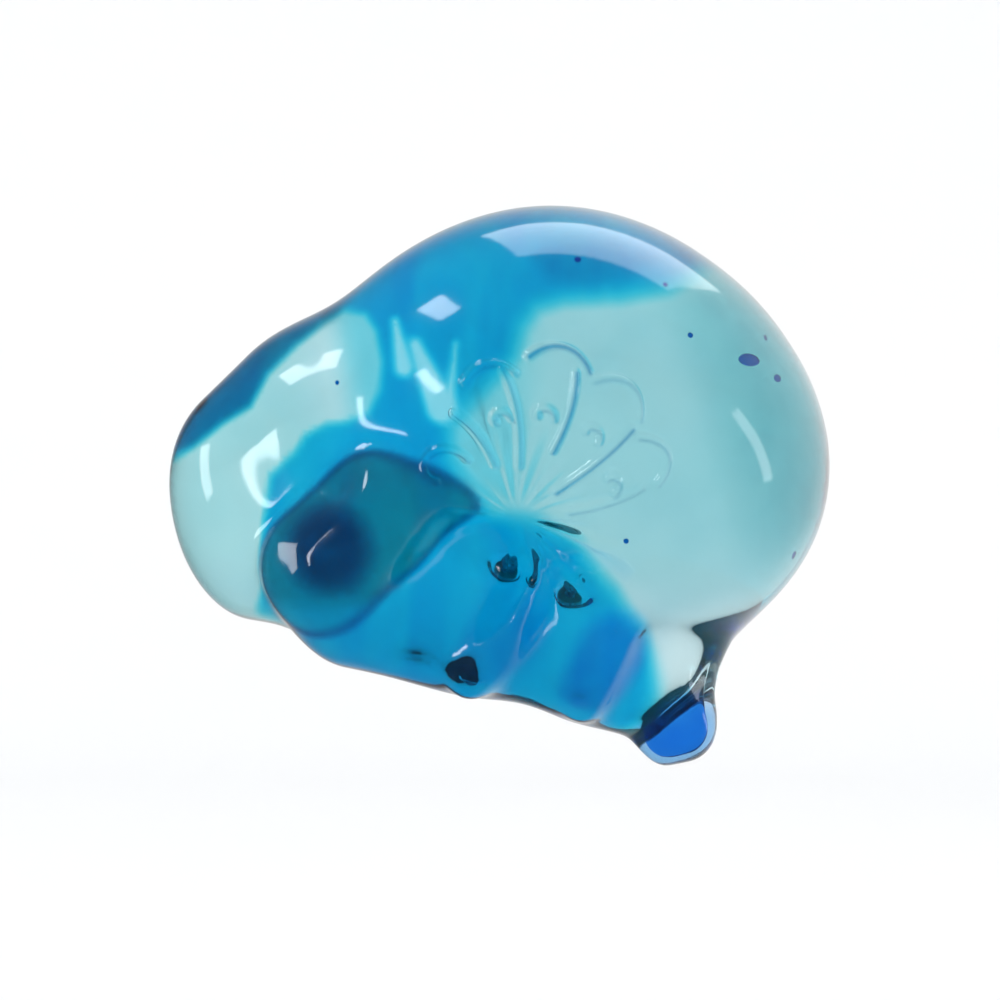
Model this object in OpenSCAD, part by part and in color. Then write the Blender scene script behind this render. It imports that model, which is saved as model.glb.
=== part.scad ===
// Gel-filled stress ball, held squeezed in a right fist.
// A clear moulded skin holds a blue gel. The gel bulges out between the fingers
// and swells into a large free dome above the grip and a smaller lobe beside it.
// +X runs to the big lobe, -Y is the side of the fingertips, +Z is up.
// The origin is on the back of the ball, where the palm presses it. Millimetres.

/* [Ball] */
// Thickness of the moulded skin
skin_t = 2; // [1.2:0.1:2.6]
// Gap left between the skin and the gel so that the solids stay apart
gel_gap = 0.15; // [0.1:0.05:0.3]
// How much deeper the lobes are, front to back, than they are tall
depth_stretch = 1.16; // [1:0.02:1.2]
// Lean of the squeeze axis from upright towards the big lobe
squeeze_lean = 32; // [28:1:36]

/* [Squeeze zones] */
// Height along the squeeze axis where the gel in the fist ends
grip_top = 2; // [0:1:4]
// Height along the squeeze axis where the free dome of gel starts
dome_base = 26; // [22:1:30]

/* [Fill plug] */
// Diameter of the plug's outer flange
plug_flange_d = 12; // [10:0.5:13]
// Thickness of the plug's outer flange
plug_flange_t = 1.5; // [1:0.1:2]
// Diameter of the plug's stem, which fills the fill hole
plug_stem_d = 6; // [4:0.5:7]
// Diameter of the plug's inner head
plug_head_d = 9; // [8:0.5:10]
// Thickness of the plug's inner head
plug_head_t = 1.8; // [1:0.1:2]
// Thickness of the adhesive under the flange
adhesive_t = 0.3; // [0.2:0.1:0.5]
// Diameter of the flat boss moulded round the fill hole
boss_d = 15; // [14:0.5:16]
// How far the boss stands proud of the skin outside
boss_out = 0.8; // [0.5:0.1:1.2]
// How far the boss reaches below the skin's outer face
boss_in = 3.2; // [3:0.1:4]
// Gap left between the plug, its adhesive and the boss so that the solids stay apart
fit_gap = 0.05; // [0.03:0.01:0.08]

/* [Surface] */
// Points round each ring of the skin
ring_points = 48; // [36:4:52]
// Distance between rings in the fist
fist_ring_gap = 2.2; // [2:0.1:3]
// Distance between rings in the neck and the dome
dome_ring_gap = 3; // [2.4:0.2:4]
// Distance from each end to its last ring
end_ring_gap = 0.4; // [0.2:0.1:0.8]

/* [Hidden] */

skin_colour = "lightcyan";
gel_colour = "deepskyblue";
neck_colour = "steelblue";
plug_colour = "white";
adhesive_colour = "wheat";

// Each round cone is [first centre, second centre, first radius, second radius].
// The lobes are given on the plane y = 0 and are stretched front to back about mid_y.
mid_y = 2;
LOBES = [
    [[8.5, 0, 17], [30, 0, 4.5], 35, 28],
    [[19, 0, 12], [20, 0, 11.5], 34.5, 34.5],
    [[-5, 0, 16], [-4, 0, 16], 28, 28],
    [[-41.5, 0, 6], [-30, 0, 10.5], 16.5, 21.5],
    [[-37, 0, -4.5], [20.5, 0, -25.5], 19.5, 15.5],
    [[26.5, 0, -12.5], [27, 0, -12.5], 13.5, 13.5]
];

// Gel squeezed forward between the fingers, and the drop past the little finger.
BULGES = [
    [[-31, -25, -12], [-22, -26.5, -3], 10.5, 9.5],
    [[-22, -26.5, -3], [-8, -25, 2], 9.5, 4.5],
    [[6, -25, -7], [3, -27, -19], 6.5, 6],
    [[3, -27, -19], [-5, -25, -31], 6, 3.5],
    [[21, -22, -26], [15, -23, -35], 5.5, 4],
    [[32.5, -10, -41], [29, -8, -42.5], 5.5, 5],
    [[36, -8, -26], [35, -9, -36], 2.5, 1.2],
    [[-24, -16, -16], [22, -13, -30], 14, 11]
];

// The hand that presses the ball, fingertip first in each finger.
HAND = [
    [[-33, -36, 6], [-45, -39, 1], 7.5, 9.5],
    [[-45, -39, 1], [-48, -38, -36], 9.5, 10],
    [[-48, -38, -36], [-40, 18, -32], 10, 10],
    [[-4, -32, -11], [-13, -38, -26], 8.5, 9.3],
    [[-13, -38, -26], [-28, -36, -49], 9.3, 9.5],
    [[-28, -36, -49], [-20, 20, -37], 9.5, 10.5],
    [[15.5, -30, -19], [13, -35, -28], 8.3, 8.5],
    [[13, -35, -28], [2, -34, -49], 8.5, 9],
    [[2, -34, -49], [0, 20, -43], 9, 10],
    [[30.5, -25, -28.5], [28.5, -27, -36], 7, 7.2],
    [[28.5, -27, -36], [19, -26, -54], 7.2, 7.5],
    [[19, -26, -54], [18, 18, -50], 7.5, 9],
    [[-8, 45, 18], [-30, 44, -4], 9, 10.5],
    [[-30, 44, -4], [-34, 36, -34], 10.5, 15],
    [[-30, 42, -30], [18, 44, -38], 17, 17.5]
];

// The broad dish where the skin is drawn down to the fingertips.
DISH = [[0, -56, -2], [12, -54, -8], 17, 15];

// Blending radii: lobes with each other, bulges, fingers and the dish.
lobe_blend = 4;
bulge_blend = 2.5;
finger_blend = 2;
dish_blend = 6;

// Middle of the ball along the squeeze axis: [height, place across].
// It runs straight below its first height and above its last.
MIDLINE = [[-36, -24], [-25, -12], [-10, 2], [10, 5], [40, 4]];
low_start = -36;
high_start = 40;
ring_aspect = 1.35;
front_crowding = 22;
march_steps = 18;
gel_depth = skin_t + gel_gap;

// The shape is drawn about the middle of the grip, and each node is then moved so that
// this point under the palm is the origin.
palm = [0, 26, -16];

// The fill hole is behind the ball, between the palm and the thumb.
// Its axis is turned down and sideways from +Y to stand square on the skin.
plug_from = [14, 14, 4];
plug_down = 44;
plug_side = 15;
plug_dir = [-cos(plug_down) * sin(plug_side), cos(plug_down) * cos(plug_side), -sin(plug_down)];
plug_turn = [-90 - plug_down, 0, plug_side];

function sum(list, i = 0) = i < len(list) ? list[i] + sum(list, i + 1) : 0;

// Signed distance from p to a cone with round ends.
function round_cone(p, cone) =
    let (
        along = cone[1] - cone[0],
        span = along * along,
        taper = cone[2] - cone[3],
        flank = span - taper * taper,
        q = p - cone[0],
        y = q * along,
        z = y - span,
        side = q * span - along * y,
        x2 = side * side,
        k = sign(taper) * taper * taper * x2
    )
    sign(z) * flank * z * z * span > k ? sqrt(x2 + z * z * span) / span - cone[3] :
    sign(y) * flank * y * y * span < k ? sqrt(x2 + y * y * span) / span - cone[2] :
    (sqrt(x2 * flank / span) + y * taper) / span - cone[2];

function blend_in(list, p, r) = sum([for (c = list) exp(-round_cone(p, c) / r)]);

// Negative inside the squeezed ball, about minus the depth below its surface.
function ball_field(p) =
    let (
        flat = [p[0], (p[1] - mid_y) / depth_stretch, p[2]],
        lobes = -lobe_blend * ln(blend_in(LOBES, flat, lobe_blend)),
        dish = exp(-round_cone(p, DISH) / dish_blend),
        dished = dish_blend * ln(exp(lobes / dish_blend) + dish),
        bulges = blend_in(BULGES, p, bulge_blend),
        body = -bulge_blend * ln(exp(-dished / bulge_blend) + bulges)
    )
    finger_blend * ln(exp(body / finger_blend) + blend_in(HAND, p, finger_blend));

// Distance from a point inside, along dir, to the surface that lies depth below the outside.
function reach(from, dir, depth, r = 0, n = march_steps) =
    n == 0 ? r : reach(from, dir, depth, r - ball_field(from + r * dir) - depth, n - 1);

// A point given by its place across, front to back and along the squeeze axis.
function place(u, v, h) = [
    u * cos(squeeze_lean) + h * sin(squeeze_lean),
    v,
    h * cos(squeeze_lean) - u * sin(squeeze_lean)
];

function across(a) = place(ring_aspect * cos(a), sin(a), 0) / norm([ring_aspect * cos(a), sin(a)]);

up = place(0, 0, 1);

function middle(h) = place(lookup(h, MIDLINE), mid_y, h);

function low_end(depth) = low_start - reach(middle(low_start), -up, depth);
function high_end(depth) = high_start + reach(middle(high_start), up, depth);

// Ring heights between two limits, counted from the top of the gel in the fist.
function fist_heights(low) =
    [for (i = [floor((grip_top - low) / fist_ring_gap):-1:1]) grip_top - i * fist_ring_gap];

function neck_heights() =
    let (n = ceil((dome_base - grip_top) / dome_ring_gap))
    [for (i = [0:n]) grip_top + (dome_base - grip_top) * i / n];

function dome_heights(high) =
    [for (i = [1:floor((high - dome_base) / dome_ring_gap)]) dome_base + i * dome_ring_gap];

// Keeps the heights that are clear of the end rings, and adds the end rings.
function with_low_end(low, heights) =
    concat([low + end_ring_gap], [for (h = heights) if (h > low + 2 * end_ring_gap) h]);

function with_high_end(high, heights) =
    concat([for (h = heights) if (h < high - 2 * end_ring_gap) h], [high - end_ring_gap]);

// Ring points lie closer together on the side of the fingertips.
function ring_angle(i) = 360 * i / ring_points - front_crowding * cos(360 * i / ring_points);

function ring(h, depth) =
    let (o = middle(h))
    [for (i = [0:ring_points - 1])
        let (d = across(ring_angle(i)))
        o + d * reach(o, d, depth)];

function flatten(lists) = [for (l = lists) each l];

// Faces of a stack of rings that is closed at both ends by a single point.
// The two end points follow the rings in the list of points.
function stack_faces(rings) =
    let (n = ring_points, low = rings * n, high = low + 1, last = (rings - 1) * n)
    concat(
        [for (r = [0:rings - 2], i = [0:n - 1])
            let (a = r * n + i, b = r * n + (i + 1) % n)
            each [[a, a + n, b], [b, a + n, b + n]]],
        [for (i = [0:n - 1]) [low, i, (i + 1) % n]],
        [for (i = [0:n - 1]) [high, last + (i + 1) % n, last + i]]
    );

// Closed solid through rings at the given heights, with its two end points.
module ring_stack(heights, low_point, high_point, depth) {
    rings = [for (h = heights) ring(h, depth)];
    points = concat(flatten(rings), [low_point, high_point]);
    polyhedron(points, stack_faces(len(heights)), convexity = 8);
}

// The whole ball at one depth below its outer surface.
module ball_solid(depth) {
    low = low_end(depth);
    high = high_end(depth);
    fist = with_low_end(low, fist_heights(low));
    dome = with_high_end(high, dome_heights(high));
    ring_stack(concat(fist, neck_heights(), dome), middle(low), middle(high), depth);
}

module from_palm() {
    translate(-palm) children();
}

// Puts its children on the fill hole, with +Z pointing out of the ball.
module at_plug() {
    translate(plug_from + plug_dir * reach(plug_from, plug_dir, 0)) rotate(plug_turn) children();
}

module boss_block(gap) {
    translate([0, 0, -boss_in - gap])
        cylinder(d = boss_d + 2 * gap, h = boss_in + boss_out + gap, $fn = 64);
}

module skin() {
    color(skin_colour, 0.4) from_palm() difference() {
        union() {
            difference() {
                ball_solid(0);
                ball_solid(skin_t);
            }
            at_plug() boss_block(0);
        }
        at_plug() translate([0, 0, -boss_in - 1])
            cylinder(d = plug_stem_d + 2 * fit_gap, h = boss_in + boss_out + 2, $fn = 64);
    }
}

// The gel that the fist holds, with room for the boss and the plug's inner head.
module gel_grip() {
    low = low_end(gel_depth);
    heights = concat(with_low_end(low, fist_heights(low)), [grip_top]);
    color(gel_colour) from_palm() difference() {
        ring_stack(heights, middle(low), middle(grip_top), gel_depth);
        at_plug() boss_block(gel_gap);
        at_plug() translate([0, 0, -boss_in - fit_gap - plug_head_t - gel_gap])
            cylinder(d = plug_head_d + 2 * gel_gap, h = plug_head_t + 2 * gel_gap, $fn = 64);
    }
}

// The gel that shifts and changes shape between the fist and the dome.
module gel_neck() {
    color(neck_colour) from_palm()
        ring_stack(neck_heights(), middle(grip_top), middle(dome_base), gel_depth);
}

// The free dome of gel that rises as the fist closes.
module gel_dome() {
    high = high_end(gel_depth);
    heights = concat([dome_base], with_high_end(high, dome_heights(high)));
    color(gel_colour) from_palm()
        ring_stack(heights, middle(dome_base), middle(high), gel_depth);
}

// One moulded plug: flange outside, stem through the hole, wider head inside.
module fill_plug() {
    flange_r = plug_flange_d / 2;
    stem_r = plug_stem_d / 2;
    head_r = plug_head_d / 2;
    head_high = -boss_in - fit_gap;
    head_low = head_high - plug_head_t;
    flange_low = boss_out + adhesive_t + 2 * fit_gap;
    flange_high = flange_low + plug_flange_t;
    round_r = plug_flange_t / 2;
    color(plug_colour) from_palm() at_plug() rotate_extrude($fn = 64) polygon([
        [0, head_low],
        [head_r - 1, head_low],
        [head_r, head_high],
        [stem_r, head_high],
        [stem_r, flange_low],
        [flange_r, flange_low],
        [flange_r, flange_high - round_r],
        [flange_r - round_r, flange_high],
        [0, flange_high]
    ]);
}

module plug_adhesive() {
    color(adhesive_colour) from_palm() at_plug() translate([0, 0, boss_out + fit_gap]) difference() {
        cylinder(d = plug_flange_d, h = adhesive_t, $fn = 64);
        translate([0, 0, -1]) cylinder(d = plug_stem_d + 2 * fit_gap, h = adhesive_t + 2, $fn = 64);
    }
}

skin();
gel_grip();
gel_neck();
gel_dome();
fill_plug();
plug_adhesive();
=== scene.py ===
import math

import bmesh
import bpy
import numpy as np
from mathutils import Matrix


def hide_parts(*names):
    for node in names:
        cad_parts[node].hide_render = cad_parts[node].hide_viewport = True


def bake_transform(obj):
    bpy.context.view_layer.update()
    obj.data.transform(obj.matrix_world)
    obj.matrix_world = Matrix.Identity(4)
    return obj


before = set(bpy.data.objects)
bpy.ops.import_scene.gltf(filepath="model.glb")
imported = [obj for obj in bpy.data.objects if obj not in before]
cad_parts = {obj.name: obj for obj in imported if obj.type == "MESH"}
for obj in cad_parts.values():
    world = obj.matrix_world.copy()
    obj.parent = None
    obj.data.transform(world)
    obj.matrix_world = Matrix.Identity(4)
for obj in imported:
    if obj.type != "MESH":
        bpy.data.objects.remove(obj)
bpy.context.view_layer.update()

import openvdb
from mathutils import Matrix, Vector

# ---------------------------------------------------------------- shape, in mm
# The shape is drawn about the middle of the grip, as in part.scad, and moved so
# that the point under the palm is the origin.
MM = 0.001
PALM = np.array([0, 26, -16], float)
SKIN_T = 2.0
GEL_GAP = 0.1
GRID_STEP = 0.9
FIELD_BAND = 4 * GRID_STEP

# Round cones: first centre, second centre, first radius, second radius.
MID_Y = 2
DEPTH_STRETCH = 1.16
LOBES = [
    ((8.5, 0, 17), (30, 0, 4.5), 35, 28),
    ((19, 0, 12), (20, 0, 11.5), 34.5, 34.5),
    ((-5, 0, 16), (-4, 0, 16), 28, 28),
    ((-41.5, 0, 6), (-30, 0, 10.5), 16.5, 21.5),
    ((-37, 0, -4.5), (20.5, 0, -25.5), 19.5, 15.5),
    ((26.5, 0, -12.5), (27, 0, -12.5), 13.5, 13.5),
]
EGG = [
    ((-31, -25, -12), (-22, -26.5, -3), 10.5, 9.5),
    ((-22, -26.5, -3), (-8, -25, 2), 9.5, 4.5),
]
MIDDLE_BULGE = [
    ((6, -25, -7), (3, -27, -19), 6.5, 6),
    ((3, -27, -19), (-5, -25, -31), 6, 3.5),
]
OUTER_BULGE = [((21, -22, -26), (15, -23, -35), 5.5, 4)]
HANGING_DROP = [((32.5, -10, -41), (29, -8, -42.5), 5.5, 5)]
WEB = [((36, -8, -26), (35, -9, -36), 2.5, 1.2)]
FINGER_SIDE = [((-24, -16, -16), (22, -13, -30), 14, 11)]
BULGES = EGG + MIDDLE_BULGE + OUTER_BULGE + HANGING_DROP + WEB + FINGER_SIDE
HAND = [
    ((-33, -36, 6), (-45, -39, 1), 7.5, 9.5),
    ((-45, -39, 1), (-48, -38, -36), 9.5, 10),
    ((-48, -38, -36), (-40, 18, -32), 10, 10),
    ((-4, -32, -11), (-13, -38, -26), 8.5, 9.3),
    ((-13, -38, -26), (-28, -36, -49), 9.3, 9.5),
    ((-28, -36, -49), (-20, 20, -37), 9.5, 10.5),
    ((15.5, -30, -19), (13, -35, -28), 8.3, 8.5),
    ((13, -35, -28), (2, -34, -49), 8.5, 9),
    ((2, -34, -49), (0, 20, -43), 9, 10),
    ((30.5, -25, -28.5), (28.5, -27, -36), 7, 7.2),
    ((28.5, -27, -36), (19, -26, -54), 7.2, 7.5),
    ((19, -26, -54), (18, 18, -50), 7.5, 9),
    ((-8, 45, 18), (-30, 44, -4), 9, 10.5),
    ((-30, 44, -4), (-34, 36, -34), 10.5, 15),
    ((-30, 42, -30), (18, 44, -38), 17, 17.5),
]
DISH = ((0, -56, -2), (12, -54, -8), 17, 15)
LOBE_BLEND, BULGE_BLEND, FINGER_BLEND, DISH_BLEND = 4, 2.5, 2, 6

# The fill plug's seat: the hole's axis runs from PLUG_FROM, inside the ball, to its back.
PLUG_FROM = np.array([14, 14, 4], float)
PLUG_DOWN = math.radians(44)
PLUG_SIDE = math.radians(15)
PLUG_DIR = np.array([
    -math.cos(PLUG_DOWN) * math.sin(PLUG_SIDE),
    math.cos(PLUG_DOWN) * math.cos(PLUG_SIDE),
    -math.sin(PLUG_DOWN),
])
BOSS_R, BOSS_OUT, BOSS_IN, BOSS_EDGE = 7.5, 0.8, 3.2, 0.5


def round_cone(p, a, b, ra, rb):
    """Signed distance from the points p to a cone with round ends."""
    a, b = np.array(a, np.float32), np.array(b, np.float32)
    along = b - a
    span = float(along @ along)
    taper = ra - rb
    flank = span - taper * taper
    q = p - a
    y = q @ along
    z = y - span
    x2 = ((q * span - along * y[..., None]) ** 2).sum(-1)
    y2, z2 = y * y * span, z * z * span
    k = math.copysign(taper * taper, taper) * x2 if taper else 0 * x2
    side = (np.sqrt(x2 * flank / span) + y * taper) / span - ra
    near_a = np.sqrt(x2 + y2) / span - ra
    near_b = np.sqrt(x2 + z2) / span - rb
    d = np.where(np.sign(y) * flank * y2 < k, near_a, side)
    return np.where(np.sign(z) * flank * z2 > k, near_b, d)


def blend_in(p, cones, r):
    """What the round cones add to a soft union of softness r."""
    return sum(np.exp(-round_cone(p, *c) / r) for c in cones)


def cluster(p, cones, r=1.0):
    """Distance to several round cones run together."""
    return -r * np.log(blend_in(p, cones, r) + 1e-30)


def ball_field(p):
    """Negative inside the squeezed ball, about minus the depth below its surface."""
    flat = p * np.array([1, 1 / DEPTH_STRETCH, 1], np.float32)
    flat = flat - np.array([0, MID_Y / DEPTH_STRETCH, 0], np.float32)
    lobes = -LOBE_BLEND * np.log(blend_in(flat, LOBES, LOBE_BLEND))
    dish = np.exp(-round_cone(p, *DISH) / DISH_BLEND)
    dished = DISH_BLEND * np.log(np.exp(lobes / DISH_BLEND) + dish)
    body = -BULGE_BLEND * np.log(np.exp(-dished / BULGE_BLEND) + blend_in(p, BULGES, BULGE_BLEND))
    return FINGER_BLEND * np.log(np.exp(body / FINGER_BLEND) + blend_in(p, HAND, FINGER_BLEND))


def plug_seat():
    """Where the fill hole's axis leaves the ball."""
    r = 0.0
    for _ in range(40):
        r -= float(ball_field(np.array([PLUG_FROM + r * PLUG_DIR], np.float32))[0])
    return PLUG_FROM + r * PLUG_DIR


SEAT = plug_seat()


def boss_field(p):
    """Signed distance to the round boss that thickens the skin at the fill hole."""
    axis = PLUG_DIR.astype(np.float32)
    q = p - SEAT.astype(np.float32)
    h = q @ axis
    r = np.linalg.norm(q - h[..., None] * axis, axis=-1)
    from_side = r - BOSS_R + BOSS_EDGE
    from_ends = np.abs(h + (BOSS_IN - BOSS_OUT) / 2) - (BOSS_IN + BOSS_OUT) / 2 + BOSS_EDGE
    d = np.stack([from_side, from_ends])
    return np.minimum(d.max(0), 0) + np.linalg.norm(np.maximum(d, 0), axis=0) - BOSS_EDGE


def skin_field(p):
    """Negative inside the skin's outer surface, with the boss run into the ball."""
    return -1.0 * np.log(np.exp(-ball_field(p)) + np.exp(-boss_field(p)))


def gel_field(p):
    """Negative inside the gel, which fills the skin and goes round the boss."""
    return np.maximum(ball_field(p) + SKIN_T + GEL_GAP, GEL_GAP - boss_field(p))


# ---------------------------------------------------------------- meshing
LOW, HIGH = np.array([-63, -45, -51], float), np.array([63, 50, 57], float)


def sample(field):
    """The field on a regular grid, in slabs so that it fits in memory."""
    axes = [np.arange(l, h, GRID_STEP, dtype=np.float32) for l, h in zip(LOW, HIGH)]
    ys, zs = np.meshgrid(axes[1], axes[2], indexing="ij")
    slabs = []
    for x in axes[0]:
        p = np.stack([np.full_like(ys, x), ys, zs], -1)
        slabs.append(field(p))
    return np.stack(slabs).astype(np.float32)


def quads_of(field):
    """Vertices and quads of the field's surface, pulled exactly onto it."""
    grid = openvdb.FloatGrid(FIELD_BAND)
    grid.copyFromArray(np.clip(sample(field), -FIELD_BAND, FIELD_BAND))
    verts, quads = grid.convertToQuads()
    verts = verts * GRID_STEP + LOW
    for _ in range(3):
        verts = pull_on(verts, field)
    return verts, quads


def slope(p, field, h=0.05):
    """The field's gradient at the points p."""
    p = p.astype(np.float32)
    steps = np.eye(3, dtype=np.float32) * h
    return np.stack([(field(p + s) - field(p - s)) / (2 * h) for s in steps], -1)


def pull_on(p, field):
    """Moves the points p onto the field's surface by one Newton step."""
    g = slope(p, field)
    d = field(p.astype(np.float32))
    return p - (d / np.maximum((g * g).sum(-1), 0.2))[:, None] * g


def make_mesh(name, verts, faces):
    """An object in metres from vertices in mm about the middle of the grip."""
    mesh = bpy.data.meshes.new(name)
    mesh.from_pydata(((verts - PALM) * MM).tolist(), [], faces.tolist())
    mesh.validate()
    mesh.update()
    obj = bpy.data.objects.new(name, mesh)
    bpy.context.scene.collection.objects.link(obj)
    return obj


def coords(obj):
    """Vertex places in mm about the middle of the grip."""
    co = np.empty(len(obj.data.vertices) * 3)
    obj.data.vertices.foreach_get("co", co)
    return co.reshape(-1, 3) / MM + PALM


def set_coords(obj, p):
    obj.data.vertices.foreach_set("co", ((p - PALM) * MM).ravel())
    obj.data.update()


def set_attribute(obj, name, values):
    a = obj.data.attributes.new(name, "FLOAT", "POINT")
    a.data.foreach_set("value", np.asarray(values, np.float32))


def smooth(obj):
    obj.data.polygons.foreach_set("use_smooth", [True] * len(obj.data.polygons))


def refine(obj, wanted, cuts):
    """Splits the faces whose middle passes the test into smaller ones."""
    bm = bmesh.new()
    bm.from_mesh(obj.data)
    middles = np.array([f.calc_center_median() for f in bm.faces]) / MM + PALM
    keep = wanted(middles)
    edges = {e for f, k in zip(bm.faces, keep) if k for e in f.edges}
    bmesh.ops.subdivide_edges(bm, edges=list(edges), cuts=cuts, use_grid_fill=True)
    bm.to_mesh(obj.data)
    bm.free()


# ---------------------------------------------------------------- relief on the front
# The point in X and Z where the fingertips pinch the skin into creases.
PINCH = np.array([3.0, -3.0])
RELIEF_HIGH = 1.0
RELIEF_HALF_WIDE = 0.72
PLEAT_DEEP = 0.5
# Distances from the pinch within which the skin's mesh is finer, and is shaped.
FINE_R, SHAPED_R = 33, 36


def ease(x, low, high):
    """Runs smoothly from 0 at low to 1 at high."""
    t = np.clip((x - low) / (high - low), 0, 1)
    return t * t * (3 - 2 * t)


def to_line(p, points):
    """Distance from the points p to a line through points."""
    best = np.full(len(p), 1e9)
    for a, b in zip(points[:-1], points[1:]):
        ab = b - a
        t = np.clip(((p - a) @ ab) / max(ab @ ab, 1e-9), 0, 1)
        best = np.minimum(best, np.linalg.norm(p - (a + t[:, None] * ab), axis=1))
    return best


def polar(angle, r):
    """A point of the front's XZ plane at distance r from the pinch."""
    a = math.radians(angle)
    return PINCH + r * np.array([math.cos(a), math.sin(a)])


def rib(angle, inner, outer, bow):
    """A curved rib that runs out from the pinch."""
    ts = np.linspace(0, 1, 13)
    return np.array([polar(angle + bow * t * t, inner + (outer - inner) * t) for t in ts])


def curl(centre, radius, turns, start):
    """A small hook whose radius shrinks along it."""
    ts = np.linspace(0, 1, 22)
    angles = start + turns * 6.28 * ts
    radii = radius * (1 - 0.75 * ts)
    return centre + np.stack([radii * np.cos(angles), radii * np.sin(angles)], axis=1)


def scallop(angle, half, r, rise):
    """An arch that joins the ends of two ribs."""
    ts = np.linspace(-1, 1, 13)
    return np.array([polar(angle + half * t, r + rise * (1 - t * t)) for t in ts])


def relief_lines():
    """Ribs, arches and hooks that fan out from the pinch: those with strong painted shade on their flank,
    and the rest.
    """
    strongly_shaded = [rib(34, 8, 25, 4), rib(62, 13, 27, 6)]
    plain = [rib(8, 9, 22, 6), rib(88, 9, 26, 8), rib(113, 10, 21, 8)]
    strongly_shaded.append(scallop(75, 11, 28, 2.5))
    plain += [scallop(50, 11, 27, 3), scallop(24, 10, 25, 3), scallop(101, 10, 25, 2)]
    for angle, r in ((22, 17), (50, 19), (77, 18), (101, 17)):
        plain.append(curl(polar(angle, r), 2.4, 0.5, math.radians(angle - 90)))
    plain.append(curl(np.array([-10.5, 4.5]), 5.5, 0.6, 0.5))
    return strongly_shaded, plain


def to_lines(flat, lines):
    """Distance from the points to the nearest of several lines."""
    return np.min([to_line(flat, line) for line in lines], axis=0)


def relief_height(p):
    """How far the relief stands out of the skin."""
    strongly_shaded, plain = relief_lines()
    d = to_lines(p[:, [0, 2]], strongly_shaded + plain)
    return RELIEF_HIGH * np.exp(-((d / RELIEF_HALF_WIDE) ** 3))


def relief_shade(p):
    """Painted shade: how much darker blue the lower right flank of each line of the relief is made."""
    strongly_shaded, plain = relief_lines()
    strong = to_lines(p[:, [0, 2]] - [0.25, -0.35], strongly_shaded)
    faint = to_lines(p[:, [0, 2]] - [0.45, -0.55], plain)
    strong_shade = np.exp(-((strong / 0.42) ** 2))
    faint_shade = 0.45 * np.exp(-((faint / 0.35) ** 2))
    return np.maximum(strong_shade, faint_shade) * front_weight(p)


def pleat_height(p):
    """Creases that run out from the pinch, deepest to its lower right."""
    q = p[:, [0, 2]] - PINCH
    r = np.linalg.norm(q, axis=1)
    a = np.arctan2(q[:, 1], q[:, 0])
    waves = np.sin(15 * a + 1.3 * np.sin(3 * a) + 0.08 * r) + 0.5 * np.sin(27 * a + 2 + 0.15 * r)
    lower_right = 0.35 + 0.65 * np.clip(np.cos(a + 0.3), 0, 1)
    below = ease(-a, 0.9, 1.4)
    depth = PLEAT_DEEP * lower_right * (1 - 0.75 * below)
    return depth * waves * ease(r, 2, 6) * (1 - ease(r, 9, 24))


def front_weight(p):
    """1 on the front, fading to 0 at the sides."""
    return 1 - ease(p[:, 1], -20, -10)


def from_pinch(p):
    return np.linalg.norm(p[:, [0, 2]] - PINCH, axis=1)


def needs_detail(p):
    """The front round the pinch, down to the fingers."""
    return (p[:, 1] < -12) & (from_pinch(p) < FINE_R) & (p[:, 2] > -16)


def build_skin():
    """The skin's outer surface with its relief and creases; it has no inner wall."""
    skin = make_mesh("skin_shell", *quads_of(skin_field))
    refine(skin, needs_detail, 2)
    p = coords(skin)
    near = (from_pinch(p) < SHAPED_R) & (p[:, 1] < -8)
    q = pull_on(p[near], skin_field)
    n = slope(q, skin_field)
    n /= np.linalg.norm(n, axis=1)[:, None]
    h = (relief_height(q) + pleat_height(q)) * front_weight(q)
    p[near] = q + n * h[:, None]
    set_coords(skin, p)
    # Painted shade on the lower right flank of each relief line, for the skin's material.
    relief_shade_weight = np.zeros(len(p))
    relief_shade_weight[near] = relief_shade(q)
    set_attribute(skin, "relief_shade_weight", relief_shade_weight)
    set_attribute(skin, "drop", 1 - ease(cluster(p.astype(np.float32), HANGING_DROP), 0.5, 4.5))
    smooth(skin)
    return skin


# Trapped air: centre and half-lengths of each bubble.
BUBBLES = [
    ((42, -15, 23.5), (2.1, 1.2, 1.15)),
    ((47, -12, 20.5), (0.8, 0.6, 0.7)),
    ((46, -13, 28), (0.4, 0.4, 0.6)),
    ((32.5, -24, 28), (0.5, 0.4, 0.5)),
    ((51, -8, -9), (0.5, 0.4, 0.8)),
    ((56, -2, 0), (0.4, 0.3, 0.4)),
    ((13.5, -22, 41), (0.6, 0.5, 0.6)),
    ((28.5, -22, 37), (0.45, 0.4, 0.45)),
    ((22, -30, -7), (0.5, 0.4, 0.5)),
    ((-28, -14, 20), (0.4, 0.4, 0.4)),
]


def add_bubbles(obj, slot):
    """Adds each bubble as a hollow inside the gel, with its faces in the given slot."""
    bm = bmesh.new()
    bm.from_mesh(obj.data)
    for centre, half in BUBBLES:
        stretch = Matrix.Diagonal((*(np.array(half) * MM), 1))
        place = Matrix.Translation((np.array(centre) - PALM) * MM) @ stretch
        made = bmesh.ops.create_icosphere(bm, subdivisions=3, radius=1, matrix=place)
        faces = {f for v in made["verts"] for f in v.link_faces}
        for f in faces:
            f.material_index = slot
        bmesh.ops.reverse_faces(bm, faces=list(faces))
    bm.to_mesh(obj.data)
    bm.free()


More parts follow.
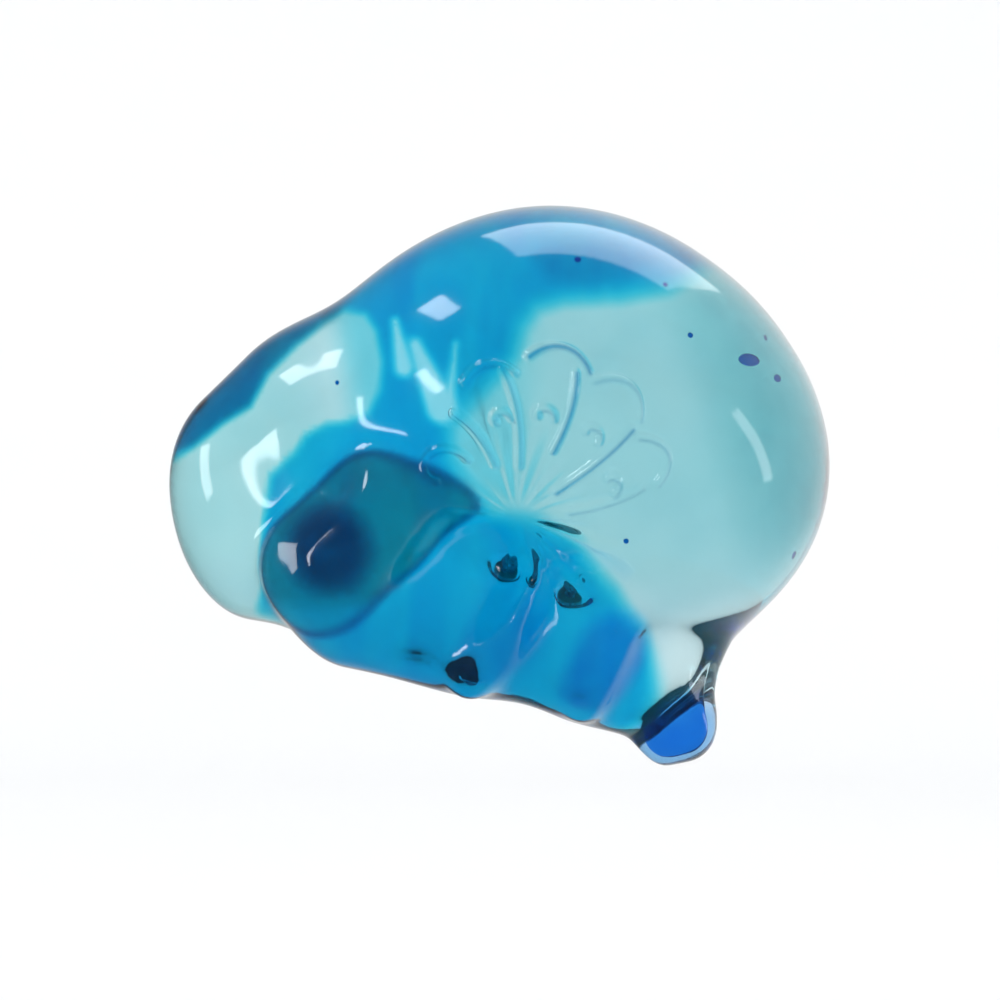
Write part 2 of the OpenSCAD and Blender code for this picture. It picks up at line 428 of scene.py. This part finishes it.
# Patches of colour on the front, as outlines in X and Z.
BIG_PALE = [
    (-9, 13), (-4, 18.5), (2, 25), (3.5, 30), (6, 33.5), (11, 35), (21, 35.5), (29, 37), (36, 41), (50, 45),
    (70, 20), (70, -40), (31, -40), (26, -27), (20, -16), (13, -8), (6, -4), (-2, -2), (-6, 2), (-9, 7),
]
LEFT_PALE = [
    (-31, 31), (-27, 33), (-23, 32.5), (-21, 29.5), (-20, 24), (-20.5, 19), (-22.5, 15), (-26, 13.5),
    (-30.5, 13), (-34, 11), (-36, 8), (-40, 4), (-41, -4), (-40, -14), (-47, -26), (-66, -26), (-66, 2),
    (-59, 6), (-54, 9.5), (-49, 13.5), (-44, 16.5), (-41, 22), (-36, 27),
]
STRIP = [
    (-20, 42), (-29, 31.5), (-36, 27), (-41, 22), (-44, 16.5), (-49, 13.5), (-54, 9.5), (-66, 6), (-66, 30),
    (-40, 46),
]
CROWN = [(6, 42), (9, 38), (15, 37), (22, 38.5), (27, 42), (20, 45), (11, 45)]
SHOULDER = [(20, 49), (28, 45), (33, 41), (42, 40), (36, 50), (24, 55)]
# Painted highlight: bright streaks in the waist, each a round cone, where the gel is left untinted so that
# they read as reflections.
STREAKS = [
    ((-18, 0, 31), (-16.5, 0, 23), 0.6, 1.6),
    ((-14.5, 0, 27), (-10, 0, 16), 1.0, 2.6),
    ((-7.5, 0, 27), (-8.5, 0, 17), 0.3, 0.8),
]


def outline_distance(flat, outline):
    """Distance to a closed outline, negative inside."""
    best = np.full(len(flat), 1e9)
    inside = np.zeros(len(flat), bool)
    corners = np.array(outline, float)
    for a, b in zip(corners, np.roll(corners, -1, axis=0)):
        ab = b - a
        t = np.clip(((flat - a) @ ab) / (ab @ ab), 0, 1)
        best = np.minimum(best, np.linalg.norm(flat - (a + t[:, None] * ab), axis=1))
        crosses = (a[1] > flat[:, 1]) != (b[1] > flat[:, 1])
        with np.errstate(divide="ignore", invalid="ignore"):
            at_x = a[0] + (flat[:, 1] - a[1]) * ab[0] / ab[1]
        inside ^= crosses & (flat[:, 0] < at_x)
    return np.where(inside, -best, best)


def patch(flat, outline, softness):
    """1 inside the outline and 0 outside, with a soft edge."""
    return 1 - ease(outline_distance(flat, outline), -softness, softness)


def near_cones(p, cones, full, none):
    """1 up to distance full from the round cones, fading to 0 at distance none."""
    return 1 - ease(cluster(p, cones), full, none)


def colour_zones(obj):
    """How strongly each tint shows at each point of the gel's surface: dyes, painted shade on the bulges and
    the far side, painted light at the lower right and painted highlight along the waist streaks.
    """
    p = coords(obj).astype(np.float32)
    x, y, z = p.T
    flat = p[:, [0, 2]]
    front_ends = -16 + 28 * ease(z, -12, 20)
    front = 1 - ease(y - front_ends, 0, 15)
    egg = near_cones(p, EGG, -0.6, 1.8)
    middle = near_cones(p, MIDDLE_BULGE, -0.8, 2.6)
    outer = near_cones(p, OUTER_BULGE, -1.2, 3.6)
    drop = near_cones(p, HANGING_DROP, 0.0, 3.0)
    # Pale web between the lobes, partly its own colour; its soft edge reaches far out as painted light that
    # lifts the dark patches around it.
    web = near_cones(p, WEB, 4, 14) * (1 - drop)
    pale = np.maximum(patch(flat, BIG_PALE, 3.0), patch(flat, LEFT_PALE, 1.2))
    on_middle_plane = p * np.array([1, 0, 1], np.float32)
    # Painted highlight: the gel is untinted along the streaks, and mostly untinted on the back behind the
    # waist so that the streaks stay white.
    streak = (1 - ease(cluster(on_middle_plane, STREAKS, 0.5), -0.8, 1.2)) * front
    blue = (1 - pale) * (1 - streak) * (1 - web) * (1 - drop)
    back_blue = 0.2 * ease(y, 2, 20) * (1 - ease(np.abs(x + 8), 6, 20))
    behind_waist = ease(y, 8, 20) * (1 - ease(np.hypot(x + 14, z - 18), 10, 22))
    low = 1 - ease(z, -26, -8)
    zones = {
        "blue": np.clip(blue * front + back_blue, 0, 1),
        "strip": patch(flat, STRIP, 1.2) * front,
        "crown": patch(flat, CROWN, 2.5) * front,
        "shoulder": patch(flat, SHOULDER, 1.5) * front,
        # Painted shade: the front darkens towards the right rim, where darker surroundings are seen through
        # it.
        "far_side_shade": ease(x + 0.3 * z, 34, 56) * front,
        # Painted shade, partly gel tint: the bulges are darkened, most in the egg's core and along its rim,
        # as the fingers behind them would shade them.
        "egg": egg * front * (1 - 0.6 * (1 - ease(z, -20, -15.5))),
        "egg_core": egg * (1 - ease(np.hypot(x + 29.5, z + 8.5), 4, 9.5)),
        "egg_rim": np.exp(-(((cluster(p, EGG) - 0.3) / 0.7) ** 2)) * front,
        "mid": middle * front,
        "mid_low": middle * (1 - ease(z, -28, -8)),
        "out": outer * front,
        "drop": drop,
        # Painted highlight along the waist streaks and behind the waist.
        "clear": np.maximum(streak, 0.8 * behind_waist),
        "web": web,
        # Painted light: paler towards the lower right, lifting dark patches from total internal reflection.
        "painted_light_low": ease(-z, 0, 22) * ease(x, 10, 24),
        "low": low * front * (1 - web) * (1 - drop) * (1 - egg),
    }
    for name, strength in zones.items():
        set_attribute(obj, name, strength)


def build_gel():
    """The gel as one body with its trapped bubbles; dressed first, as a dressing resets the slots."""
    gel = make_mesh("gel_filling", *quads_of(gel_field))
    dress(gel, gel_material(), bubble_material())
    add_bubbles(gel, 1)
    colour_zones(gel)
    smooth(gel)
    return gel


# ---------------------------------------------------------------- materials
# Sockets of a Mix node that mixes colours.
MIX_FACTOR, MIX_A, MIX_B, MIX_RESULT = 0, 6, 7, 2


def new_material(name):
    """A material with only a Principled shader and its output."""
    m = bpy.data.materials.new(name)
    m.use_nodes = True
    nt = m.node_tree
    nt.nodes.clear()
    out = nt.nodes.new("ShaderNodeOutputMaterial")
    bsdf = nt.nodes.new("ShaderNodeBsdfPrincipled")
    nt.links.new(bsdf.outputs["BSDF"], out.inputs["Surface"])
    return m, nt, bsdf


def linear(rgb):
    """Linear colour from 0-255 sRGB."""
    return [((c / 255 + 0.055) / 1.055) ** 2.4 if c > 10 else c / 255 / 12.92 for c in rgb]


def noise(nt, scale, detail=3, rough=0.5, distortion=0.0, vector=None):
    """A noise texture's value, on object coordinates unless a vector is given."""
    n = nt.nodes.new("ShaderNodeTexNoise")
    n.inputs["Scale"].default_value = scale
    n.inputs["Detail"].default_value = detail
    n.inputs["Roughness"].default_value = rough
    n.inputs["Distortion"].default_value = distortion
    if vector is None:
        tc = nt.nodes.new("ShaderNodeTexCoord")
        vector = tc.outputs["Object"]
    nt.links.new(vector, n.inputs["Vector"])
    return n.outputs["Fac"]


def stretched(nt, scale):
    """Object coordinates at a different scale along each axis."""
    coordinate = nt.nodes.new("ShaderNodeTexCoord")
    mapping = nt.nodes.new("ShaderNodeMapping")
    mapping.inputs["Scale"].default_value = scale
    nt.links.new(coordinate.outputs["Object"], mapping.inputs["Vector"])
    return mapping.outputs["Vector"]


def feed(nt, socket, value):
    """Sets a socket to a number or a colour, or links it to another node's output."""
    if isinstance(value, (list, tuple)):
        socket.default_value = (*value, 1)
    elif isinstance(value, (int, float)):
        socket.default_value = value
    else:
        nt.links.new(value, socket)


def math_node(nt, op, a, b):
    n = nt.nodes.new("ShaderNodeMath")
    n.operation = op
    feed(nt, n.inputs[0], a)
    feed(nt, n.inputs[1], b)
    return n.outputs[0]


def mix_colour(nt, factor, a, b, blend="MIX"):
    n = nt.nodes.new("ShaderNodeMix")
    n.data_type = "RGBA"
    n.blend_type = blend
    feed(nt, n.inputs[MIX_FACTOR], factor)
    feed(nt, n.inputs[MIX_A], a)
    feed(nt, n.inputs[MIX_B], b)
    return n.outputs[MIX_RESULT]


def attribute(nt, name):
    """A value stored at the mesh's vertices."""
    n = nt.nodes.new("ShaderNodeAttribute")
    n.attribute_name = name
    return n.outputs["Fac"]


def map_range(nt, value, from_min, from_max, to_min=0.0, to_max=1.0):
    """Maps one range smoothly onto another."""
    n = nt.nodes.new("ShaderNodeMapRange")
    n.interpolation_type = "SMOOTHSTEP"
    nt.links.new(value, n.inputs["Value"])
    n.inputs["From Min"].default_value = from_min
    n.inputs["From Max"].default_value = from_max
    n.inputs["To Min"].default_value = to_min
    n.inputs["To Max"].default_value = to_max
    return n.outputs["Result"]


def bump(nt, bsdf, height, strength, distance):
    n = nt.nodes.new("ShaderNodeBump")
    n.inputs["Strength"].default_value = strength
    n.inputs["Distance"].default_value = distance
    nt.links.new(height, n.inputs["Height"])
    nt.links.new(n.outputs["Normal"], bsdf.inputs["Normal"])


def skin_material():
    """Clear glossy rubber with painted shade on the lower right flank of each relief line, tinted over the
    hanging drop.

    The IOR is lower than rubber's, which keeps total reflection inside the ball down.
    """
    m, nt, bsdf = new_material("clear_skin")
    bsdf.inputs["Transmission Weight"].default_value = 1
    bsdf.inputs["IOR"].default_value = 1.2
    bsdf.inputs["Coat Weight"].default_value = 1
    bsdf.inputs["Coat Roughness"].default_value = 0.1
    haze = map_range(nt, noise(nt, 60, 4), 0.4, 0.8, 0.0, 0.03)
    nt.links.new(haze, bsdf.inputs["Roughness"])
    tone = mix_colour(nt, noise(nt, 18), linear((236, 250, 252)), linear((250, 254, 255)))
    tone = mix_colour(nt, attribute(nt, "drop"), tone, linear((135, 190, 235)))
    # Painted shade: darker blue on the lower right flank of each relief line.
    tone = mix_colour(nt, attribute(nt, "relief_shade_weight"), tone, linear((60, 145, 200)))
    nt.links.new(tone, bsdf.inputs["Base Color"])
    bump(nt, bsdf, noise(nt, 45, 2), 0.06, 0.0006)
    return m


# What the undyed gel looks like through the whole ball.
PALE_SEEN = (142, 202, 211)


def dye_and_shade_tint(rgb, passes=1):
    """Surface tint that makes the pale gel look rgb when light passes it the given times."""
    return [min((t / p) ** (2 / passes), 1) for t, p in zip(linear(rgb), linear(PALE_SEEN))]


def dyed_and_shaded(nt, colour, tint, amount):
    """Multiplies colour by tint raised to amount, as a thicker layer of tint would; used for dyes and for
    painted shade.
    """
    gamma = nt.nodes.new("ShaderNodeGamma")
    gamma.inputs["Color"].default_value = (*tint, 1)
    nt.links.new(amount, gamma.inputs["Gamma"])
    return mix_colour(nt, 1, colour, gamma.outputs["Color"], "MULTIPLY")


# Zone, the colour that it gives the pale gel, and how often light passes the tint; for the bulges and the
# far side the tint is painted shade.
DYES_AND_SHADES = [
    ("blue", (6, 153, 200), 1),
    ("strip", (60, 140, 160), 1),
    ("crown", (130, 175, 195), 1),
    ("shoulder", (125, 182, 197), 1),
    # Painted shade towards the right rim.
    ("far_side_shade", (88, 166, 178), 1),
    ("low", (128, 188, 202), 1),
    # Bulge tints: partly gel colour, partly painted shade of the fingers behind the bulges.
    ("egg", (90, 150, 150), 1),
    ("egg_core", (120, 101, 141), 1),
    ("egg_rim", (110, 145, 180), 1),
    ("mid", (120, 195, 210), 1),
    ("mid_low", (125, 185, 205), 1),
    ("out", (85, 160, 200), 1),
    ("drop", (31, 126, 200), 2),
]


def gel_material():
    """Pale blue gel with a tint for each zone, some of them painted shade, with painted light and painted
    highlight mixed into its base colour; the IOR is chosen to keep the inside clear.
    """
    m, nt, bsdf = new_material("blue_gel")
    bsdf.inputs["Transmission Weight"].default_value = 1
    bsdf.inputs["IOR"].default_value = 1.03
    bsdf.inputs["Roughness"].default_value = 0.02
    swirl = noise(nt, 22, 3, 0.5, 1.6)
    fine = noise(nt, 70, 3, 0.55, 2.0)
    colour = mix_colour(nt, map_range(nt, swirl, 0.3, 0.7), linear((178, 228, 230)), linear((203, 240, 239)))
    # Painted light: paler gel towards the lower right, lifting dark patches from total internal reflection.
    colour = mix_colour(nt, attribute(nt, "painted_light_low"), colour, linear((226, 249, 248)))
    # Painted highlight: near-white gel along the waist streaks.
    colour = mix_colour(nt, attribute(nt, "clear"), colour, linear((250, 252, 255)))
    # Pale web, partly its own colour and partly painted light lifting nearby dark patches.
    colour = mix_colour(nt, attribute(nt, "web"), colour, linear((250, 253, 254)))
    ripple = math_node(nt, "MULTIPLY", math_node(nt, "SUBTRACT", fine, 0.5), 0.45)
    upright = noise(nt, 1, 2, 0.5, 0.6, stretched(nt, (95, 40, 14)))
    streaky = math_node(nt, "MULTIPLY", math_node(nt, "SUBTRACT", upright, 0.5), 1.1)
    for name, rgb, passes in DYES_AND_SHADES:
        unevenness = streaky if name == "blue" else ripple
        weight = math_node(nt, "MULTIPLY", attribute(nt, name), math_node(nt, "ADD", unevenness, 1.0))
        colour = dyed_and_shaded(nt, colour, dye_and_shade_tint(rgb, passes), weight)
    nt.links.new(colour, bsdf.inputs["Base Color"])
    volume = nt.nodes.new("ShaderNodeVolumeAbsorption")
    volume.inputs["Color"].default_value = (*linear((120, 200, 215)), 1)
    volume.inputs["Density"].default_value = 8
    nt.links.new(volume.outputs["Volume"], nt.nodes["Material Output"].inputs["Volume"])
    return m


def bubble_material():
    m, nt, bsdf = new_material("bubble_wall")
    bsdf.inputs["Transmission Weight"].default_value = 1
    bsdf.inputs["IOR"].default_value = 1.08
    bsdf.inputs["Roughness"].default_value = 0
    tone = mix_colour(nt, noise(nt, 200), linear((0, 90, 190)), linear((20, 130, 210)))
    nt.links.new(tone, bsdf.inputs["Base Color"])
    return m


def plug_material():
    m, nt, bsdf = new_material("plug_rubber")
    tone = mix_colour(nt, noise(nt, 300, 4), linear((205, 226, 230)), linear((225, 240, 242)))
    nt.links.new(tone, bsdf.inputs["Base Color"])
    bsdf.inputs["Transmission Weight"].default_value = 0.5
    bsdf.inputs["IOR"].default_value = 1.5
    nt.links.new(map_range(nt, noise(nt, 500, 3), 0.3, 0.7, 0.22, 0.38), bsdf.inputs["Roughness"])
    bump(nt, bsdf, noise(nt, 500, 2), 0.03, 0.0002)
    return m


def adhesive_material():
    m, nt, bsdf = new_material("adhesive")
    tone = mix_colour(nt, noise(nt, 400, 4), linear((214, 206, 180)), linear((232, 226, 206)))
    nt.links.new(tone, bsdf.inputs["Base Color"])
    nt.links.new(map_range(nt, noise(nt, 600, 3), 0.3, 0.7, 0.3, 0.5), bsdf.inputs["Roughness"])
    return m


def stage_material(name, rgb, rough):
    """Matt paint with a slight drift in its tone."""
    m, nt, bsdf = new_material(name)
    tone = mix_colour(nt, noise(nt, 3), linear(rgb), linear([c + 3 for c in rgb]))
    nt.links.new(tone, bsdf.inputs["Base Color"])
    bsdf.inputs["Roughness"].default_value = rough
    return m


def dress(obj, *materials):
    obj.data.materials.clear()
    for m in materials:
        obj.data.materials.append(m)


# ---------------------------------------------------------------- studio
# The camera looks level along +Y at the middle of the grip from a metre away.
VIEW_DISTANCE = 1.0
VIEW_WIDTH = 0.18
SENSOR_MM = 36
EYE = Vector((0, -1.024, 0.016))
# The softboxes stand round this point, near the ball's middle.
TARGET = Vector((0.01, -0.03, 0.02))
LIGHT_STRENGTH = 1.33


def add_camera():
    cam = bpy.data.cameras.new("camera")
    cam.sensor_width = SENSOR_MM
    cam.lens = SENSOR_MM * VIEW_DISTANCE / VIEW_WIDTH
    cam.clip_start, cam.clip_end = 0.05, 20
    obj = bpy.data.objects.new("camera", cam)
    obj.location = EYE
    obj.rotation_euler = (math.radians(90), 0, 0)
    bpy.context.scene.collection.objects.link(obj)
    bpy.context.scene.camera = obj


def add_softbox(name, direction, distance, size, radiance, upright=(0, 0, 1)):
    """A softbox that faces the ball; upright is the way its long side runs."""
    light = bpy.data.lights.new(name, "AREA")
    light.shape = "RECTANGLE"
    light.size, light.size_y = size
    light.energy = radiance * math.pi * size[0] * size[1]
    away = Vector(direction).normalized()
    side = Vector(upright).cross(away).normalized()
    obj = bpy.data.objects.new(name, light)
    turn = Matrix((side, away.cross(side), away)).transposed().to_4x4()
    obj.matrix_world = Matrix.Translation(TARGET + away * distance) @ turn
    obj.visible_transmission = False
    obj.visible_diffuse = False
    bpy.context.scene.collection.objects.link(obj)


def add_studio():
    """A round floor that sweeps up into a wall all the way round."""
    floor_z, flat_r, bend_r, wall = -0.11, 1.5, 0.8, 1.2
    profile = [(0.001, floor_z), (flat_r, floor_z)]
    for a in np.linspace(0.1, math.pi / 2, 12):
        profile.append((flat_r + bend_r * math.sin(a), floor_z + bend_r * (1 - math.cos(a))))
    profile.append((flat_r + bend_r, floor_z + bend_r + wall))
    turns = 96
    angles = [2 * math.pi * i / turns for i in range(turns)]
    verts = [(r * math.cos(a), r * math.sin(a), z) for r, z in profile for a in angles]
    faces = []
    for j in range(len(profile) - 1):
        for i in range(turns):
            lower, upper, after = j * turns, (j + 1) * turns, (i + 1) % turns
            faces.append((lower + i, lower + after, upper + after, upper + i))
    mesh = bpy.data.meshes.new("sweep")
    mesh.from_pydata(verts, [], faces)
    obj = bpy.data.objects.new("sweep", mesh)
    bpy.context.scene.collection.objects.link(obj)
    smooth(obj)
    dress(obj, stage_material("sweep_paint", (246, 247, 248), 0.9))
    obj.visible_glossy = False


def add_world():
    """Even white light; what the gloss mirrors is bright behind the ball and dim in front."""
    world = bpy.data.worlds.new("world")
    world.use_nodes = True
    nt = world.node_tree
    background = nt.nodes["Background"]
    background.inputs["Color"].default_value = (1, 1, 1, 1)
    coordinate = nt.nodes.new("ShaderNodeTexCoord")
    split = nt.nodes.new("ShaderNodeSeparateXYZ")
    nt.links.new(coordinate.outputs["Generated"], split.inputs["Vector"])
    behind = math_node(nt, "MULTIPLY", split.outputs["Y"], 0.75)
    beside = math_node(nt, "MULTIPLY", split.outputs["X"], 0.65)
    mirrored = map_range(nt, math_node(nt, "ADD", behind, beside), 0.3, 0.95, 0.08, 0.8)
    path = nt.nodes.new("ShaderNodeLightPath")
    mix = nt.nodes.new("ShaderNodeMix")
    nt.links.new(path.outputs["Is Glossy Ray"], mix.inputs["Factor"])
    mix.inputs["A"].default_value = LIGHT_STRENGTH
    nt.links.new(mirrored, mix.inputs["B"])
    nt.links.new(mix.outputs["Result"], background.inputs["Strength"])
    bpy.context.scene.world = world


def add_lights():
    add_softbox("top_box", (0.17, 0.48, 0.83), 1.3, (1.08, 0.72), 1.8, (0, 1, 0))
    add_softbox("left_strip", (-0.96, 0.02, 0.2), 1.0, (0.2, 0.5), 4.5, (0, 0.4, 0.8))
    add_softbox("left_high", (-0.64, -0.04, 0.77), 1.0, (0.14, 0.28), 6, (0, 1, 0))
    add_softbox("left_front", (-0.79, -0.55, 0.2), 1.0, (0.06, 0.36), 9, (-0.06, 0.46, 0.42))
    add_softbox("right_strip", (0.98, -0.12, 0.05), 1.0, (0.12, 0.5), 3, (0, -0.45, 0.9))
    add_world()


def set_render():
    """Plain display colours, and enough bounces to see through skin, gel and bubbles."""
    scene = bpy.context.scene
    scene.view_settings.view_transform = "Standard"
    scene.cycles.max_bounces = 24
    scene.cycles.transmission_bounces = 24
    scene.cycles.glossy_bounces = 24
    scene.cycles.diffuse_bounces = 3


def assemble():
    """Puts the looks of each piece in the place of its CAD nodes."""
    skin = build_skin()
    dress(skin, skin_material())
    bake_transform(skin)
    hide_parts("skin")
    gel = build_gel()
    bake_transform(gel)
    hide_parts("gel_grip", "gel_neck", "gel_dome")
    dress(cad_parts["fill_plug"], plug_material())
    dress(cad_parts["plug_adhesive"], adhesive_material())


add_camera()
assemble()
add_studio()
add_lights()
set_render()
